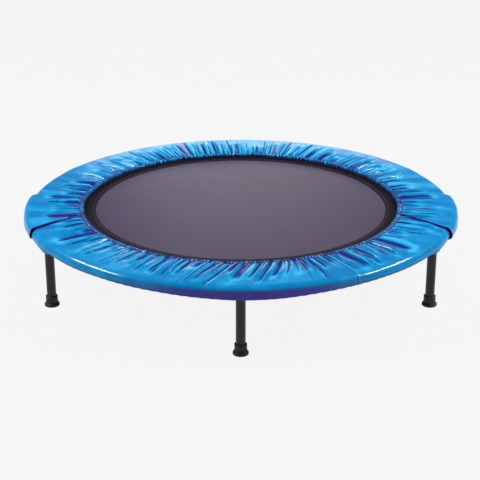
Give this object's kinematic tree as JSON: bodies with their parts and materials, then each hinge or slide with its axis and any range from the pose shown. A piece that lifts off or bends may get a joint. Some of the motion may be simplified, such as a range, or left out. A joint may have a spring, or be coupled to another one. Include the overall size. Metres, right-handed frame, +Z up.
{
  "type": "mini trampoline",
  "caption": "Round folding mini trampoline: sprung fabric mat in a steel rim, gathered vinyl spring cover, screw-in legs with rubber feet.",
  "frame": {"origin": "on the floor, under the centre of the mat", "axes": "+Z up, +X to the right hinge, along the fold line, -Y to the front, where the rear cover's ends lap over the front cover"},
  "size_m": [1.1112, 1.0998, 0.1727],
  "materials": {
    "black_paint": "satin powder coat",
    "zinc_steel": "zinc plated",
    "cover_vinyl": "glossy gathered vinyl",
    "elastic": "braided elastic",
    "mat_fabric": "tight woven jumping cloth",
    "webbing": "woven webbing",
    "foot_rubber": "moulded rubber",
    "washer_nylon": "moulded nylon"
  },
  "bodies": {
    "front_frame": {"front_rim_tube": "black_paint", "front_leg_studs": "zinc_steel", "front_leg_seats": "black_paint", "front_spring_staples": "black_paint", "front_springs": "zinc_steel", "front_cover": "cover_vinyl", "front_hem_elastic": "elastic", "front_lower_elastic": "elastic"},
    "hinge_link": {"left_hinge_bracket": "black_paint", "right_hinge_bracket": "black_paint", "hinge_bolts": "zinc_steel", "hinge_washers": "zinc_steel", "hinge_nuts": "zinc_steel"},
    "rear_frame": {"rear_rim_tube": "black_paint", "rear_leg_studs": "zinc_steel", "rear_leg_seats": "black_paint", "rear_spring_staples": "black_paint", "rear_springs": "zinc_steel", "rear_cover": "cover_vinyl", "rear_hem_elastic": "elastic", "rear_lower_elastic": "elastic", "left_cover_flap": "cover_vinyl", "right_cover_flap": "cover_vinyl"},
    "mat_front": {"front_mat": "mat_fabric", "front_mat_border": "webbing", "front_mat_rings": "zinc_steel"},
    "mat_middle": {"middle_mat": "mat_fabric", "middle_mat_border": "webbing"},
    "mat_rear": {"rear_mat": "mat_fabric", "rear_mat_border": "webbing", "rear_mat_rings": "zinc_steel"},
    "leg_1_washer": {"leg_1_washer": "washer_nylon"},
    "leg_1": {"leg_1_tube": "black_paint", "leg_1_insert": "zinc_steel", "leg_1_foot": "foot_rubber"},
    "leg_2_washer": {"leg_2_washer": "washer_nylon"},
    "leg_2": {"leg_2_tube": "black_paint", "leg_2_insert": "zinc_steel", "leg_2_foot": "foot_rubber"},
    "leg_3_washer": {"leg_3_washer": "washer_nylon"},
    "leg_3": {"leg_3_tube": "black_paint", "leg_3_insert": "zinc_steel", "leg_3_foot": "foot_rubber"},
    "leg_4_washer": {"leg_4_washer": "washer_nylon"},
    "leg_4": {"leg_4_tube": "black_paint", "leg_4_insert": "zinc_steel", "leg_4_foot": "foot_rubber"},
    "leg_5_washer": {"leg_5_washer": "washer_nylon"},
    "leg_5": {"leg_5_tube": "black_paint", "leg_5_insert": "zinc_steel", "leg_5_foot": "foot_rubber"},
    "leg_6_washer": {"leg_6_washer": "washer_nylon"},
    "leg_6": {"leg_6_tube": "black_paint", "leg_6_insert": "zinc_steel", "leg_6_foot": "foot_rubber"}
  },
  "joints": [
    {"name": "fold_front", "type": "hinge", "parent": "front_frame", "child": "hinge_link", "pos_m": [0, -0.025, 0.1615], "axis": [1, 0, 0], "range_deg": [0, 90], "deforming": ["left_cover_flap", "right_cover_flap"]},
    {"name": "fold_rear", "type": "hinge", "parent": "hinge_link", "child": "rear_frame", "pos_m": [0, 0.025, 0.1615], "axis": [1, 0, 0], "range_deg": [0, 90], "deforming": ["left_cover_flap", "right_cover_flap"]},
    {"name": "mat_bounce", "type": "slide", "parent": "front_frame", "child": "mat_front", "axis": [0, 0, -1], "range_m": [0, 0.08], "stiffness_N_per_m": 11000, "deforming": ["front_springs"]},
    {"name": "mat_bounce_middle", "type": "slide", "parent": "hinge_link", "child": "mat_middle", "axis": [0, 0, -1], "range_m": [0, 0.08]},
    {"name": "mat_bounce_rear", "type": "slide", "parent": "rear_frame", "child": "mat_rear", "axis": [0, 0, -1], "range_m": [0, 0.08], "deforming": ["rear_springs"]},
    {"name": "leg_1_travel", "type": "slide", "parent": "rear_frame", "child": "leg_1_washer", "axis": [0, 0, -1], "range_m": [0, 0.0165]},
    {"name": "leg_1_screw", "type": "hinge", "parent": "leg_1_washer", "child": "leg_1", "pos_m": [0.45639, 0.2635, 0.13], "axis": [0, 0, -1], "range_deg": [0, 3960]},
    {"name": "leg_2_travel", "type": "slide", "parent": "rear_frame", "child": "leg_2_washer", "axis": [0, 0, -1], "range_m": [0, 0.0165]},
    {"name": "leg_2_screw", "type": "hinge", "parent": "leg_2_washer", "child": "leg_2", "pos_m": [0, 0.527, 0.13], "axis": [0, 0, -1], "range_deg": [0, 3960]},
    {"name": "leg_3_travel", "type": "slide", "parent": "rear_frame", "child": "leg_3_washer", "axis": [0, 0, -1], "range_m": [0, 0.0165]},
    {"name": "leg_3_screw", "type": "hinge", "parent": "leg_3_washer", "child": "leg_3", "pos_m": [-0.45639, 0.2635, 0.13], "axis": [0, 0, -1], "range_deg": [0, 3960]},
    {"name": "leg_4_travel", "type": "slide", "parent": "front_frame", "child": "leg_4_washer", "axis": [0, 0, -1], "range_m": [0, 0.0165]},
    {"name": "leg_4_screw", "type": "hinge", "parent": "leg_4_washer", "child": "leg_4", "pos_m": [-0.45639, -0.2635, 0.13], "axis": [0, 0, -1], "range_deg": [0, 3960]},
    {"name": "leg_5_travel", "type": "slide", "parent": "front_frame", "child": "leg_5_washer", "axis": [0, 0, -1], "range_m": [0, 0.0165]},
    {"name": "leg_5_screw", "type": "hinge", "parent": "leg_5_washer", "child": "leg_5", "pos_m": [0, -0.527, 0.13], "axis": [0, 0, -1], "range_deg": [0, 3960]},
    {"name": "leg_6_travel", "type": "slide", "parent": "front_frame", "child": "leg_6_washer", "axis": [0, 0, -1], "range_m": [0, 0.0165]},
    {"name": "leg_6_screw", "type": "hinge", "parent": "leg_6_washer", "child": "leg_6", "pos_m": [0.45639, -0.2635, 0.13], "axis": [0, 0, -1], "range_deg": [0, 3960]}
  ],
  "couplings": [
    {"joint": "mat_bounce_middle", "follows": "mat_bounce", "ratio": 1},
    {"joint": "mat_bounce_rear", "follows": "mat_bounce", "ratio": 1},
    {"joint": "leg_1_screw", "follows": "leg_1_travel", "rad_per_m": 4188.8},
    {"joint": "leg_2_screw", "follows": "leg_2_travel", "rad_per_m": 4188.8},
    {"joint": "leg_3_screw", "follows": "leg_3_travel", "rad_per_m": 4188.8},
    {"joint": "leg_4_screw", "follows": "leg_4_travel", "rad_per_m": 4188.8},
    {"joint": "leg_5_screw", "follows": "leg_5_travel", "rad_per_m": 4188.8},
    {"joint": "leg_6_screw", "follows": "leg_6_travel", "rad_per_m": 4188.8}
  ]
}
